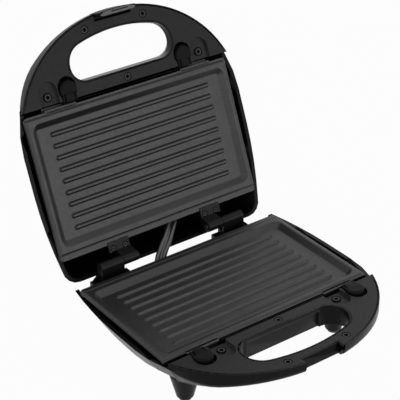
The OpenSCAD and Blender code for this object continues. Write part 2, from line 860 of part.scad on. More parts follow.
module base_shell() {
    color(black)
        in_base()
            difference() {
                union() {
                    half_shell(lid_button_x, 0);
                    button_seats(base_button_x);
                    for (p = foot_places)
                        translate([p[0], p[1], rim_height])
                            mirror([0, 0, 1])
                                foot(p[1] < 0 ? front_foot_top : rear_foot_top);
                    hinge_seats();
                    latch_catch();
                }
                latch_space();
                box([-body_half_w - 1, hinge_y - 8.15, -1], [body_half_w + 1, rear_y + 1, base_rear_rim]);
                gland_hole();
            }
}

module base_cover() {
    color(satin_black)
        in_base()
            handle_cover(base_button_x, lid_button_x, notch_half_w, notch_y);
}

module base_plate() {
    color(coating)
        in_base()
            cooking_plate();
}

module base_heat_tray() {
    color(steel)
        in_base()
            heat_tray();
}

module base_heating_rod() {
    color(steel)
        in_base()
            heating_rod();
}

module base_tray_screws() {
    color(steel)
        in_base()
            tray_screws();
}

module thermostat() {
    color(steel)
        in_base()
            post(-20, 0, 8, recess_depth + plate_t + 0.1, tray_d - 0.5);
}

module thermal_fuse() {
    color("white")
        in_base()
            translate([20, 12, tray_d - 2.2])
                rotate([0, 90, 0])
                    cylinder(r = 2, h = 24);
}

module terminal_block() {
    block = [30, 12, 8];
    color("ivory")
        in_base()
            translate([-60, recess_rear_y, shell_depth - wall - block[2]])
                difference() {
                    cube(block);
                    for (i = [0:2])
                        translate([5 + 10 * i, block[1] / 2, -eps])
                            cylinder(r = 1.6, h = 5);
                }
}

// Entry of the supply cord at the rear, and the hole for it
gland_x = -32;
gland_d = shell_depth - 10;
gland_r = 6;
gland_bore_r = 3.2;
gland_y = rear_y - 13;
gland_l = 11.5;
module gland_hole() {
    translate([gland_x, gland_y - 2, gland_d])
        rotate([-90, 0, 0])
            cylinder(r = gland_r + screw_gap, h = 20);
}

module cord_gland() {
    flange_t = 2;
    flange_r = 7.5;
    color(rubber)
        in_base()
            translate([gland_x, gland_y, gland_d])
                rotate([-90, 0, 0])
                    difference() {
                        union() {
                            cylinder(r = gland_r, h = gland_l);
                            translate([0, 0, gland_l - flange_t])
                                cylinder(r = flange_r, h = flange_t);
                        }
                        translate([0, 0, -eps])
                            cylinder(r = gland_bore_r, h = gland_l + 2 * eps);
                    }
}

// Hinge brackets of the base: slotted knuckles on posts behind the plate
bracket_x = [knuckle_split_x - 7.5, base_knuckle_x + 8.2];
saddle_z = hinge_z - float_travel - knuckle_r - 0.9;
bracket_foot_z = 9.5 - shell_depth;
wall_top_z = -base_rear_rim + seat_gap;
bracket_rear_y = hinge_y + knuckle_r;
bracket_front_y = hinge_y - knuckle_r;
bracket_foot_y = [hinge_y - 8.95, hinge_y - 2.75];
bracket_screw_x = [bracket_x[0] + 3.5, bracket_x[1] - 3.6];
bracket_screw_y = hinge_y - 5.85;
bracket_screw_z = bracket_foot_z + 5;
bracket_screw_l = 9;

module slot_profile() {
    r = pin_r + pin_gap;
    for (z = [hinge_z - float_travel, hinge_z])
        translate([hinge_y, z])
            circle(r = r);
    translate([hinge_y - r, hinge_z - float_travel])
        square([2 * r, float_travel]);
}

module base_hinge() {
    x0 = knuckle_split_x + 0.3;
    web_top = hinge_z - knuckle_r;
    difference() {
        union() {
            along_x(x0, base_knuckle_x) {
                translate([hinge_y, hinge_z])
                    circle(r = knuckle_r);
                translate([bracket_front_y, saddle_z - 1])
                    square([2 * knuckle_r, hinge_z - saddle_z + 1]);
            }
            box([bracket_x[0], bracket_front_y, wall_top_z], [bracket_x[1], bracket_rear_y, saddle_z]);
            box([bracket_x[0], bracket_foot_y[0], bracket_foot_z],
                [bracket_x[1] - 1.5, bracket_foot_y[1], wall_top_z + eps]);
            translate([0, bracket_rear_y - 2, 0])
                rotate([90, 0, 0])
                    linear_extrude(2.4)
                        polygon([
                            [base_knuckle_x - 1, web_top], [bracket_x[1], saddle_z],
                            [base_knuckle_x - 1, saddle_z - eps]
                        ]);
        }
        along_x(x0 - 1, base_knuckle_x - 1.5)
            slot_profile();
        for (x = bracket_screw_x) {
            translate([x, bracket_screw_y, bracket_screw_z])
                cylinder(r = screw_head_r - 1 + screw_gap, h = 30);
            translate([x, bracket_screw_y, bracket_foot_z - 1])
                cylinder(r = screw_shank_r + screw_gap, h = 10);
        }
    }
}

module small_screw(length) {
    cylinder(r = screw_head_r - 1, h = screw_head_h);
    cylinder(r = screw_shank_r, h = length);
}

module hinge_seats() {
    top = seat_gap - bracket_foot_z;
    both_sides()
        difference() {
            for (x = bracket_screw_x)
                post(x, bracket_screw_y, boss_r - 0.5, top, shell_depth - wall / 2);
            for (x = bracket_screw_x)
                post(x, bracket_screw_y, screw_shank_r + screw_gap, top - 8.2, shell_depth - wall);
        }
}

module base_hinge_left() {
    color(black)
        at_table()
            mirror([1, 0, 0])
                base_hinge();
}

module base_hinge_right() {
    color(black)
        at_table()
            base_hinge();
}

module base_hinge_screws() {
    color(steel)
        at_table()
            both_sides()
                for (x = bracket_screw_x)
                    translate([x, bracket_screw_y, bracket_screw_z + screw_head_h])
                        mirror([0, 0, 1])
                            small_screw(bracket_screw_l);
}

module hinge_pins() {
    head_t = 1.2;
    x0 = lid_knuckle_x - 0.2;
    color(steel)
        at_table()
            both_sides()
                translate([0, hinge_y, hinge_z])
                    rotate([0, 90, 0]) {
                        translate([0, 0, x0 - head_t])
                            cylinder(r = pin_r + 1, h = head_t);
                        translate([0, 0, x0 - eps])
                            cylinder(r = pin_r, h = base_knuckle_x - 1.8 - x0);
                    }
}

module foot_pads() {
    color(rubber)
        at_table()
            for (p = foot_places)
                translate([p[0], p[1], -rim_height])
                    foot_pad();
}

module base_cover_screws() {
    color(steel)
        in_base()
            cover_screws(lid_button_x);
}

module base_button_left() {
    color(satin_black)
        in_base()
            release_button(-base_button_x);
}

module base_button_right() {
    color(satin_black)
        in_base()
            release_button(base_button_x);
}

module base_button_springs() {
    color(steel)
        in_base()
            button_springs(base_button_x);
}

// Hinge brackets of the lid: a tab screwed to the shell, and a knuckle on an arm
tab_x = [lid_knuckle_x + 0.6, knuckle_split_x + 6.8];
tab_y = [plate_half_d - 2.3, hinge_y - 4.15];
tab_short_y = hinge_y - 8.15;
tab_t = 3;
tab_d = 0.1;
tab_screw_l = 12;
tab_screws = [[knuckle_split_x + 2, hinge_y - 11.45], [lid_knuckle_x + 5.2, hinge_y - 11.35]];
lid_axis_z = hinge_z - lid_lift;
module lid_hinge() {
    r = knuckle_r;
    difference() {
        union() {
            box([tab_x[0], tab_y[0], tab_d], [knuckle_split_x, tab_y[1], tab_d + tab_t]);
            box([knuckle_split_x - 1, tab_y[0], tab_d], [tab_x[1], tab_short_y, tab_d + tab_t]);
            along_x(lid_knuckle_x, knuckle_split_x) {
                translate([hinge_y, lid_axis_z])
                    circle(r = r);
                polygon([
                    [tab_y[1] - 5, tab_d], [hinge_y - r * 0.9, lid_axis_z - r * 0.4], [hinge_y, lid_axis_z],
                    [hinge_y + r, lid_axis_z], [hinge_y + r, lid_axis_z + 3], [tab_y[1] + 3, tab_d + tab_t],
                    [tab_y[1] - 5, tab_d + tab_t]
                ]);
            }
        }
        along_x(lid_knuckle_x - 1, knuckle_split_x + 1)
            translate([hinge_y, lid_axis_z])
                circle(r = pin_r + pin_gap);
        for (p = tab_screws) {
            post(p[0], p[1], screw_shank_r + screw_gap, -1, tab_d + tab_t + 1);
            post(p[0], p[1], screw_head_r - 1 + screw_gap, -1, tab_d + screw_head_h);
        }
    }
}

module tab_bosses() {
    both_sides()
        difference() {
            for (p = tab_screws)
                post(p[0], p[1], boss_r, tab_d + tab_t + screw_gap, shell_depth - wall / 2);
            for (p = tab_screws)
                post(p[0], p[1], screw_shank_r + screw_gap, 0, tab_screw_l + 4);
        }
}

module lid_hinge_left() {
    color(black)
        in_lid()
            mirror([1, 0, 0])
                lid_hinge();
}

module lid_hinge_right() {
    color(black)
        in_lid()
            lid_hinge();
}

module lid_hinge_screws() {
    color(steel)
        in_lid()
            both_sides()
                for (p = tab_screws)
                    translate([p[0], p[1], tab_d])
                        small_screw(tab_screw_l);
}

// Lamps on the lid
lamp_y = -30;
lamp_xs = [-9, 9];
lamp_r = 3.5;
module lamp(x) {
    translate([x, lamp_y, shell_depth - wall - 1]) {
        cylinder(r = lamp_r, h = wall + 2);
        cylinder(r = lamp_r + 1.2, h = 0.9);
    }
}

module lid_shell() {
    slot_w = latch_half_w + latch_gap;
    color(black)
        in_lid()
            difference() {
                union() {
                    half_shell(base_button_x, lid_hole_flare);
                    button_seats(lid_button_x);
                    tab_bosses();
                    latch_ears();
                }
                box([-slot_w, -tip_reach - 1, -1], [slot_w, latch_slot_y, latch_slot_d]);
                hole_space(0, lid_hole_flare);
                latch_pin_hole();
                for (x = lamp_xs)
                    post(x, lamp_y, lamp_r + screw_gap, shell_depth - wall - 1, shell_depth + 1);
            }
}

module lid_cover() {
    color(satin_black)
        in_lid()
            handle_cover(lid_button_x, base_button_x, latch_half_w + latch_gap, latch_slot_y + 1.2);
}

module lid_plate() {
    color(coating)
        in_lid()
            cooking_plate();
}

module lid_heat_tray() {
    color(steel)
        in_lid()
            heat_tray();
}

module lid_heating_rod() {
    color(steel)
        in_lid()
            heating_rod();
}

module lid_tray_screws() {
    color(steel)
        in_lid()
            tray_screws();
}

module lid_cover_screws() {
    color(steel)
        in_lid()
            cover_screws(base_button_x);
}

module lid_button_left() {
    color(satin_black)
        in_lid()
            release_button(-lid_button_x);
}

module lid_button_right() {
    color(satin_black)
        in_lid()
            release_button(lid_button_x);
}

module lid_button_springs() {
    color(steel)
        in_lid()
            button_springs(lid_button_x);
}

// Latch: a plate in the lid's front that hangs past the meeting plane, with a barb behind its end
latch_slot_y = 7.1 - tip_reach;
latch_slot_d = 9;
latch_t = 3.6;
latch_pin_y = 5.2 - tip_reach;
latch_pin_d = 4.6;
latch_pin_r = 1.2;
latch_pin_l = 2.4;
latch_top_d = 8;
barb_t = 1.7;
barb_hook = 1.25;
barb_y = catch_lip_y + barb_hook - (latch_drop - barb_t + latch_pin_d) * sin(latch_swing);
module latch_ears() {
    inner = latch_half_w + latch_gap;
    both_sides()
        box([inner - eps, latch_pin_y - 2.6, cover_t + screw_gap],
            [inner + 3, latch_slot_y + 1.6, latch_slot_d]);
}

module latch_pin_hole() {
    x = latch_half_w + latch_gap + latch_pin_l;
    along_x(-x, x)
        translate([latch_pin_y, latch_pin_d])
            circle(r = latch_pin_r + 0.02);
}

module latch() {
    outer = -tip_reach - 0.2;
    inner = outer + latch_t;
    points = [
        [outer, -latch_drop], [barb_y, -latch_drop], [barb_y, barb_t - latch_drop],
        [inner, barb_t - latch_drop], [inner, latch_top_d], [outer, latch_top_d]
    ];
    color(satin_black)
        in_lid()
            difference() {
                intersection() {
                    union() {
                        along_x(-latch_half_w, latch_half_w)
                            polygon(points);
                        along_x(-latch_half_w, latch_half_w)
                            translate([latch_pin_y, latch_pin_d])
                                circle(r = latch_pin_r + 1.4);
                    }
                    translate([0, 0, -latch_drop - 1])
                        linear_extrude(latch_drop + latch_slot_d + 1)
                            polygon(arch_outline());
                }
                along_x(-latch_half_w - 1, latch_half_w + 1)
                    translate([latch_pin_y, latch_pin_d])
                        circle(r = latch_pin_r + pin_gap);
            }
}

module latch_pin() {
    x = latch_half_w + latch_gap + latch_pin_l - 0.1;
    color(steel)
        in_lid()
            along_x(-x, x)
                translate([latch_pin_y, latch_pin_d])
                    circle(r = latch_pin_r);
}

module power_lamp() {
    color("red")
        in_lid()
            lamp(lamp_xs[0]);
}

module ready_lamp() {
    color("green")
        in_lid()
            lamp(lamp_xs[1]);
}

module lamp_holder() {
    edge = 8;
    holder_t = 2.9;
    rear = shell_depth - wall - 1.1;
    color("ivory")
        in_lid()
            box([lamp_xs[0] - edge, lamp_y - edge, rear - holder_t],
                [lamp_xs[1] + edge, lamp_y + edge, rear]);
}

// Flat twin lead from the base's cavity to the lid's, behind the plates
lead_route = [
    [-16, -20, -29], [-14, -12, -25], [-11.5, -6, -20.5], [-9, -2.2, -16.5], [-6, 1.5, -11],
    [-1, 5.7, -5.8], [4, 9.7, -2.2], [9, 14.7, 1.3], [13, 19, 5], [17, 24, 8.7], [20, 29, 12.3]
];
lead_half_w = 5;
lead_half_t = 2.3;
module link_lead() {
    sides = 8;
    function heading(i) =
        let (a = lead_route[max(0, i - 1)], b = lead_route[min(len(lead_route) - 1, i + 1)], v = b - a)
        v / norm(v);
    function ring(i) =
        let (t = heading(i), u = cross(t, [0, -0.6, 0.8]), side = u / norm(u), up = cross(side, t))
        [for (k = [0:sides - 1]) let (a = -360 * k / sides)
            lead_route[i] + lead_half_w * cos(a) * side + lead_half_t * sin(a) * up];
    color(rubber)
        at_table()
            translate([0, hinge_y, 0])
                loft([for (i = [0:len(lead_route) - 1]) ring(i)]);
}

base_shell();
base_cover();
base_plate();
base_heat_tray();
base_heating_rod();
base_tray_screws();
thermostat();
thermal_fuse();
terminal_block();
cord_gland();
base_hinge_left();
base_hinge_right();
base_hinge_screws();
foot_pads();
base_cover_screws();
base_button_left();
base_button_right();
base_button_springs();
hinge_pins();
lid_shell();
lid_cover();
lid_plate();
lid_heat_tray();
lid_heating_rod();
lid_tray_screws();
lid_hinge_left();
lid_hinge_right();
lid_hinge_screws();
lid_cover_screws();
lid_button_left();
lid_button_right();
lid_button_springs();
latch();
latch_pin();
power_lamp();
ready_lamp();
lamp_holder();
link_lead();
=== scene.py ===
"""Looks of the open sandwich toaster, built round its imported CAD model. Metres, in the row frame."""

import json
import math

import bmesh
import bpy
from mathutils import Matrix, Vector


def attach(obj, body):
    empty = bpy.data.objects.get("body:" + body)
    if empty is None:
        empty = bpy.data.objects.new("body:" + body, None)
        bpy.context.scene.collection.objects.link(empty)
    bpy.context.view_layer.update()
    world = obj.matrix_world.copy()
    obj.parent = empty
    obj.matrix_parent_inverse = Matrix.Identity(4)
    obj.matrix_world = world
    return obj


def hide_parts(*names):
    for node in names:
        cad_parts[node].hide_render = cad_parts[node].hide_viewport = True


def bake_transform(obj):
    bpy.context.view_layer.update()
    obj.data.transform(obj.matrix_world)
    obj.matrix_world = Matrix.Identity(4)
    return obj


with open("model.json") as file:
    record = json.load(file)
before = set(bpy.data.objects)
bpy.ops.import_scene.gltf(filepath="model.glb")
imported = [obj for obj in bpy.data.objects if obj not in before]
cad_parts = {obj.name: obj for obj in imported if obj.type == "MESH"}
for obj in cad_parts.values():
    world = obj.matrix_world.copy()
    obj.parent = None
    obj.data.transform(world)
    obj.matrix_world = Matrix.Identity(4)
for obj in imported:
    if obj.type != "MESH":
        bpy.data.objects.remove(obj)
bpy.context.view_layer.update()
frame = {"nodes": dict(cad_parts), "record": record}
nodes = frame["nodes"]
MM = 0.001

# Plate frame of the CAD: origin at the plate's centre in the plane where the halves meet
CENTRE_Y = 20.778437
RIM_Z = 58.2
HINGE_Y, HINGE_Z = 82.15, 1.84
OPEN_ANGLE = math.radians(112)
LID_LIFT = 8.1


# ---------------------------------------------------------------- placing

def in_base(p):
    """Point of the base's half frame, in millimetres, to the row frame."""
    return Vector((p[0], p[1] - CENTRE_Y, RIM_Z - p[2])) * MM


def in_lid(p):
    """Point of the lid's half frame, in millimetres, to the row frame."""
    y, z = p[1] - HINGE_Y, p[2] + LID_LIFT - HINGE_Z
    c, s = math.cos(OPEN_ANGLE), math.sin(OPEN_ANGLE)
    return Vector((p[0], HINGE_Y + y * c + z * s - CENTRE_Y, HINGE_Z - y * s + z * c + RIM_Z)) * MM


# ---------------------------------------------------------------- camera, light and floor

CAMERA_PLACE = Vector((-619.19, -853.03, 735.64)) * MM
CAMERA_BACK = Vector((-0.50356, -0.70662, 0.49711)).normalized()
CAMERA_ROLL = math.radians(-0.956)
CAMERA_LENS = 125.02


def make_camera():
    data = bpy.data.cameras.new("camera")
    data.lens = CAMERA_LENS
    data.sensor_width = 36
    data.clip_start, data.clip_end = 0.05, 50
    cam = bpy.data.objects.new("camera", data)
    bpy.context.scene.collection.objects.link(cam)
    right = (-CAMERA_BACK).cross(Vector((0, 0, 1))).normalized()
    up = right.cross(-CAMERA_BACK)
    c, s = math.cos(CAMERA_ROLL), math.sin(CAMERA_ROLL)
    right, up = right * c + up * s, up * c - right * s
    m = Matrix((right, up, CAMERA_BACK)).transposed().to_4x4()
    m.translation = CAMERA_PLACE
    cam.matrix_world = m
    bpy.context.scene.camera = cam


def node_tree(data):
    data.use_nodes = True
    data.node_tree.nodes.clear()
    return data.node_tree


def add(tree, kind, **values):
    n = tree.nodes.new(kind)
    for k, v in values.items():
        setattr(n, k, v)
    return n


# Strength of the world's light at the horizon and from WORLD_TURN upwards, as the Z of a direction
WORLD_LOW, WORLD_HIGH, WORLD_TURN = 0.2, 0.05, 0.6
FLOOR_SIZE, FLOOR_GREY, FLOOR_WHITE = 8, 0.8, 0.97
# Place and target in metres, size and watts of each lamp
LAMPS = {
    "key": ((0.6, -1.55, 0.36), (0, 0, 0.12), 1.0, 6.0),
    "fill": ((-1.2, -1.0, 0.55), (0, 0, 0.12), 0.8, 2.0),
    "back": ((0.75, 1.05, 1.2), (0, 0, 0.05), 0.9, 1.2),
}


def seen_background(tree):
    """1 for camera rays and for rays seen in gloss or through glass, otherwise 0."""
    path = add(tree, "ShaderNodeLightPath")
    first = add(tree, "ShaderNodeMath", operation="MAXIMUM")
    tree.links.new(path.outputs["Is Glossy Ray"], first.inputs[0])
    tree.links.new(path.outputs["Is Transmission Ray"], first.inputs[1])
    both = add(tree, "ShaderNodeMath", operation="MAXIMUM")
    tree.links.new(path.outputs["Is Camera Ray"], both.inputs[0])
    tree.links.new(first.outputs[0], both.inputs[1])
    return both.outputs[0]


def make_world():
    world = bpy.data.worlds.new("studio")
    bpy.context.scene.world = world
    tree = node_tree(world)
    light = add(tree, "ShaderNodeBackground")
    light.inputs["Color"].default_value = (1, 1, 1, 1)
    where = add(tree, "ShaderNodeTexCoord")
    parts = add(tree, "ShaderNodeSeparateXYZ")
    height = add(tree, "ShaderNodeMapRange")
    height.inputs["From Min"].default_value = 0.0
    height.inputs["From Max"].default_value = WORLD_TURN
    height.inputs["To Min"].default_value = WORLD_LOW
    height.inputs["To Max"].default_value = WORLD_HIGH
    tree.links.new(where.outputs["Generated"], parts.inputs[0])
    tree.links.new(parts.outputs["Z"], height.inputs["Value"])
    tree.links.new(height.outputs["Result"], light.inputs["Strength"])
    white = add(tree, "ShaderNodeBackground")
    white.inputs["Color"].default_value = (1, 1, 1, 1)
    white.inputs["Strength"].default_value = 1.0
    mix = add(tree, "ShaderNodeMixShader")
    tree.links.new(seen_background(tree), mix.inputs[0])
    tree.links.new(light.outputs[0], mix.inputs[1])
    tree.links.new(white.outputs[0], mix.inputs[2])
    out = add(tree, "ShaderNodeOutputWorld")
    tree.links.new(mix.outputs[0], out.inputs[0])


def make_floor():
    bpy.ops.mesh.primitive_plane_add(size=FLOOR_SIZE, location=(0, 0, 0))
    floor = bpy.context.object
    floor.name = "floor"
    mat = bpy.data.materials.new("floor")
    tree = node_tree(mat)
    pale = add(tree, "ShaderNodeBsdfDiffuse")
    pale.inputs["Color"].default_value = (FLOOR_GREY, FLOOR_GREY, FLOOR_GREY, 1)
    white = add(tree, "ShaderNodeEmission")
    white.inputs["Strength"].default_value = 1.0
    share = add(tree, "ShaderNodeMath", operation="MULTIPLY")
    share.inputs[1].default_value = FLOOR_WHITE
    tree.links.new(seen_background(tree), share.inputs[0])
    mix = add(tree, "ShaderNodeMixShader")
    tree.links.new(share.outputs[0], mix.inputs[0])
    tree.links.new(pale.outputs[0], mix.inputs[1])
    tree.links.new(white.outputs[0], mix.inputs[2])
    out = add(tree, "ShaderNodeOutputMaterial")
    tree.links.new(mix.outputs[0], out.inputs[0])
    floor.data.materials.append(mat)


def area_light(name, place, target, size, watts):
    data = bpy.data.lights.new(name, "AREA")
    data.energy = watts
    data.size = size
    lamp = bpy.data.objects.new(name, data)
    bpy.context.scene.collection.objects.link(lamp)
    lamp.location = place
    lamp.rotation_mode = "QUATERNION"
    lamp.rotation_quaternion = (Vector(target) - Vector(place)).to_track_quat("-Z", "Y")


make_camera()
make_world()
make_floor()
for lamp_name, lamp_values in LAMPS.items():
    area_light(lamp_name, *lamp_values)


# ---------------------------------------------------------------- materials

def principled(name, color, rough, metallic=0.0, specular=0.5, coat=0.0, coat_rough=0.1,
               tone=0.15, tone_scale=40, grain=0.0, grain_scale=2500, speckle=0.0,
               speckle_scale=1800, rough_spread=0.08):
    """Procedural surface: tone clouds, fine speckle, moulded grain and uneven gloss."""
    mat = bpy.data.materials.new(name)
    tree = node_tree(mat)
    bsdf = add(tree, "ShaderNodeBsdfPrincipled")
    bsdf.inputs["Metallic"].default_value = metallic
    bsdf.inputs["Specular IOR Level"].default_value = specular
    bsdf.inputs["Coat Weight"].default_value = coat
    bsdf.inputs["Coat Roughness"].default_value = coat_rough
    out = add(tree, "ShaderNodeOutputMaterial")
    tree.links.new(bsdf.outputs[0], out.inputs[0])
    where = add(tree, "ShaderNodeTexCoord")
    clouds = add(tree, "ShaderNodeTexNoise")
    clouds.inputs["Scale"].default_value = tone_scale
    clouds.inputs["Detail"].default_value = 4
    tree.links.new(where.outputs["Object"], clouds.inputs["Vector"])
    ramp = add(tree, "ShaderNodeValToRGB")
    dark = [c * (1 - tone) for c in color]
    light = [min(1, c * (1 + tone)) for c in color]
    ramp.color_ramp.elements[0].position = 0.3
    ramp.color_ramp.elements[1].position = 0.7
    ramp.color_ramp.elements[0].color = (*dark, 1)
    ramp.color_ramp.elements[1].color = (*light, 1)
    tree.links.new(clouds.outputs["Fac"], ramp.inputs["Fac"])
    colour = ramp.outputs["Color"]
    if speckle:
        flecks = add(tree, "ShaderNodeTexNoise")
        flecks.inputs["Scale"].default_value = speckle_scale
        flecks.inputs["Detail"].default_value = 2
        tree.links.new(where.outputs["Object"], flecks.inputs["Vector"])
        cut = add(tree, "ShaderNodeMapRange")
        cut.inputs["From Min"].default_value = 0.35
        cut.inputs["From Max"].default_value = 0.7
        cut.inputs["To Min"].default_value = 1 - speckle
        cut.inputs["To Max"].default_value = 1 + speckle
        tree.links.new(flecks.outputs["Fac"], cut.inputs["Value"])
        mul = add(tree, "ShaderNodeVectorMath", operation="SCALE")
        tree.links.new(colour, mul.inputs[0])
        tree.links.new(cut.outputs["Result"], mul.inputs["Scale"])
        colour = mul.outputs["Vector"]
    tree.links.new(colour, bsdf.inputs["Base Color"])
    gloss = add(tree, "ShaderNodeMapRange")
    gloss.inputs["To Min"].default_value = max(0.02, rough - rough_spread)
    gloss.inputs["To Max"].default_value = min(1, rough + rough_spread)
    fine = add(tree, "ShaderNodeTexNoise")
    fine.inputs["Scale"].default_value = tone_scale * 6
    fine.inputs["Detail"].default_value = 3
    tree.links.new(where.outputs["Object"], fine.inputs["Vector"])
    tree.links.new(fine.outputs["Fac"], gloss.inputs["Value"])
    tree.links.new(gloss.outputs["Result"], bsdf.inputs["Roughness"])
    if grain:
        pebble = add(tree, "ShaderNodeTexNoise")
        pebble.inputs["Scale"].default_value = grain_scale
        pebble.inputs["Detail"].default_value = 3
        tree.links.new(where.outputs["Object"], pebble.inputs["Vector"])
        bump = add(tree, "ShaderNodeBump")
        bump.inputs["Strength"].default_value = grain
        bump.inputs["Distance"].default_value = 0.0002
        tree.links.new(pebble.outputs["Fac"], bump.inputs["Height"])
        tree.links.new(bump.outputs["Normal"], bsdf.inputs["Normal"])
    return mat


M = {
    "shell": principled("shell_black", (0.005, 0.005, 0.0053), 0.32, specular=0.1, grain=0.12,
                        grain_scale=3000),
    "cover": principled("cover_black", (0.014, 0.014, 0.0144), 0.46, specular=0.22, grain=0.35,
                        grain_scale=3500),
    "part": principled("part_black", (0.01, 0.01, 0.0105), 0.42, specular=0.18, grain=0.25,
                       grain_scale=3500),
    "plate": principled("plate_coating", (0.06, 0.06, 0.061), 0.42, metallic=0.75, specular=0.3,
                        grain=0.5, grain_scale=2200, speckle=0.3, tone=0.06),
    # Darker copy of the plate coating for the skirt and front faces: painted shade.
    "skirt_shade": principled("plate_skirt_painted_shade", (0.03, 0.03, 0.0305), 0.35, metallic=0.4, grain=0.3),
    "button": principled("button_black", (0.007, 0.007, 0.0072), 0.5, specular=0.1, grain=0.3,
                         grain_scale=3500),
    # Near-black dull material of the sheets that paint shade on the screw heads.
    "recess": principled("recess_black", (0.002, 0.002, 0.002), 0.8, specular=0.05),
    "screw": principled("screw_black", (0.03, 0.03, 0.031), 0.35, metallic=0.7, tone=0.1),
    "lead": principled("lead_black", (0.05, 0.05, 0.0505), 0.3, specular=1.0, tone=0.05),
    # Lighter copy of the latch's black for the pad on its end: painted light.
    "latch_lit_pad": principled("latch_pad_painted_light", (0.16, 0.16, 0.162), 0.38, specular=0.6, grain=0.2),
    "tray": principled("tray_sheet", (0.65, 0.65, 0.67), 0.35, metallic=1.0, tone=0.05),
    "steel": principled("steel", (0.05, 0.05, 0.052), 0.4, metallic=0.6, tone=0.1),
    "rod": principled("rod_steel", (0.28, 0.26, 0.24), 0.45, metallic=0.9, tone=0.2),
    "rubber": principled("rubber_black", (0.015, 0.015, 0.015), 0.6, grain=0.4),
    "ivory": principled("ivory_plastic", (0.72, 0.68, 0.55), 0.5, tone=0.04),
    "red": principled("lamp_red", (0.5, 0.02, 0.015), 0.12, coat=0.5, tone=0.05),
    "green": principled("lamp_green", (0.02, 0.32, 0.04), 0.12, coat=0.5, tone=0.05),
}
SLOTS = {
    "shell": "shell_black", "cover": "cover_black", "part": "part_black", "plate": "plate_coating",
    "tray": "tray_sheet", "steel": "steel", "rod": "rod_steel", "rubber": "rubber_black",
    "ivory": "ivory_plastic", "red": "lamp_red", "green": "lamp_green",
}
BY_SLOT = {s: k for k, s in SLOTS.items()}

for sub in frame["record"]["subparts"]:
    o = nodes[sub["node"]]
    key = BY_SLOT[sub["material_slot"]]
    o.data.materials.clear()
    o.data.materials.append(M[key])


# ---------------------------------------------------------------- mesh helpers

def new_piece(name, bm, material, smooth_angle=40):
    """Object from a bmesh in the row frame, shaded smooth up to an angle in degrees."""
    mesh = bpy.data.meshes.new(name)
    bm.normal_update()
    bm.to_mesh(mesh)
    bm.free()
    mesh.polygons.foreach_set("use_smooth", [True] * len(mesh.polygons))
    mesh.set_sharp_from_angle(angle=math.radians(smooth_angle))
    mesh.materials.append(M[material])
    obj = bpy.data.objects.new(name, mesh)
    bpy.context.scene.collection.objects.link(obj)
    return obj


def join_facets(bm, cuts):
    """Joins facets of flat faces. Seams through the holes keep the holes open."""
    seams = []
    for normal, at in cuts:
        made = bmesh.ops.bisect_plane(bm, geom=bm.verts[:] + bm.edges[:] + bm.faces[:], dist=1e-7,
                                      plane_co=Vector(at), plane_no=Vector(normal))
        seams += [e for e in made["geom_cut"] if isinstance(e, bmesh.types.BMEdge)]
    for e in seams:
        if e.is_valid:
            e.seam = True
    bmesh.ops.dissolve_limit(bm, angle_limit=math.radians(0.5), verts=bm.verts, edges=bm.edges,
                             delimit={"SEAM"})


SMOOTH_ANGLE = 32
BEVEL, BEVEL_SEGMENTS = 0.25, 2


def dress(node, body, material=None, bevel=0.0, cuts=()):
    """Copy of a CAD node, shaded smooth. Facets are joined where it has a bevel or cuts."""
    bm = bmesh.new()
    bm.from_mesh(nodes[node].data)
    bmesh.ops.remove_doubles(bm, verts=bm.verts, dist=0.002 * MM)
    if bevel or cuts:
        join_facets(bm, cuts)
    slot = next(x["material_slot"] for x in frame["record"]["subparts"] if x["node"] == node)
    key = material or BY_SLOT[slot]
    obj = new_piece(node + "_finished", bm, key, SMOOTH_ANGLE)
    if bevel:
        mod = obj.modifiers.new("edges", "BEVEL")
        mod.width = bevel * MM
        mod.segments = BEVEL_SEGMENTS
        mod.limit_method = "ANGLE"
        mod.angle_limit = math.radians(SMOOTH_ANGLE)
        mod.use_clamp_overlap = False
        mod.harden_normals = False
    fix = obj.modifiers.new("normals", "WEIGHTED_NORMAL")
    fix.keep_sharp = True
    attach(obj, body)
    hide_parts(node)


# Button places, in millimetres from the middle, and where seams cross the finger hole
BASE_BUTTON_X, LID_BUTTON_X, HOLE_SEAM_X = 82.2, 62.6, 45
SEAM_XS = [-BASE_BUTTON_X, -LID_BUTTON_X, -HOLE_SEAM_X, 0, HOLE_SEAM_X, LID_BUTTON_X, BASE_BUTTON_X]
COVER_CUTS = [((1, 0, 0), (x * MM, 0, 0)) for x in SEAM_XS]
# Nodes that are made again below, and nodes inside the part that keep their CAD form
REMADE = ("base_plate", "lid_plate", "link_lead")
INSIDE = ("tray", "rod", "thermo", "thermal", "terminal", "spring", "holder")
for body, members in frame["record"]["behaviour"]["bodies"].items():
    for node in members:
        if node in REMADE or "button_left" in node or "button_right" in node:
            continue
        if any(w in node for w in INSIDE):
            continue
        if "cover_screws" in node or "hinge_screws" in node:
            dress(node, body, "screw", bevel=BEVEL)
        elif node == "latch":
            dress(node, body, "button", bevel=BEVEL)
        elif "cover" in node:
            dress(node, body, cuts=COVER_CUTS)
        else:
            dress(node, body, bevel=0.0 if "shell" in node else BEVEL)


# ---------------------------------------------------------------- release buttons

BUTTON_Y, BUTTON_R, BUTTON_H, STEM_W = -80.0, 8.9, 2.8, 11.0
STEM_Y, NOSE_Y, GROOVED_W = -69.4, -67.2, 7.2
SKIRT_DEPTH, SINK = 2.8, 0.1
# Head from its foot to its crown: share of the outline, and depth
HEAD_PROFILE = ((1.0, -SINK), (1.0, -1.2), (0.975, -1.8), (0.93, -2.3), (0.86, -2.65), (0.74, -BUTTON_H),
                (0.5, -2.75), (0.25, -2.6))


